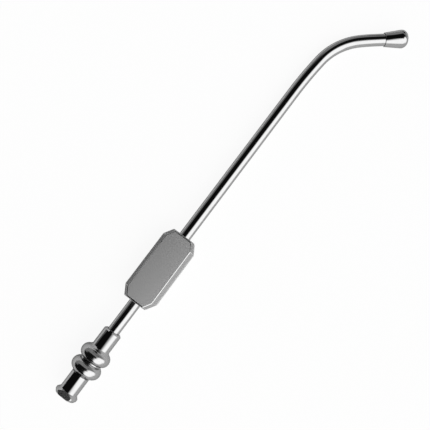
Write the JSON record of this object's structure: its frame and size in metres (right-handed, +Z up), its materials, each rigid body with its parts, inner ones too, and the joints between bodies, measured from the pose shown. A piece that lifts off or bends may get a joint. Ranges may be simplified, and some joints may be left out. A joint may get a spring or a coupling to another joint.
{
  "type": "antrum cannula",
  "caption": "Bent steel cannula for washing out the antrum, with a syringe hub, grip rings, a bevelled finger plate and a blunt hollow tip.",
  "frame": {"origin": "on the table, under the middle of the part's bounding box as it lies at rest", "axes": "+X runs along the straight tube from the hub to the tip, +Z is up off the table, and the tip is bent towards -Y"},
  "size_m": [0.16, 0.0266, 0.0101],
  "materials": {
    "tube_steel": "mirror polished",
    "hub_chrome": "mirror polished",
    "plate_satin_steel": "fine satin, matt blasted",
    "tip_chrome": "mirror polished"
  },
  "bodies": {
    "root": {"cannula_tube": "tube_steel", "luer_hub": "hub_chrome", "finger_plate": "plate_satin_steel", "tip_olive": "tip_chrome"}
  },
  "joints": []
}
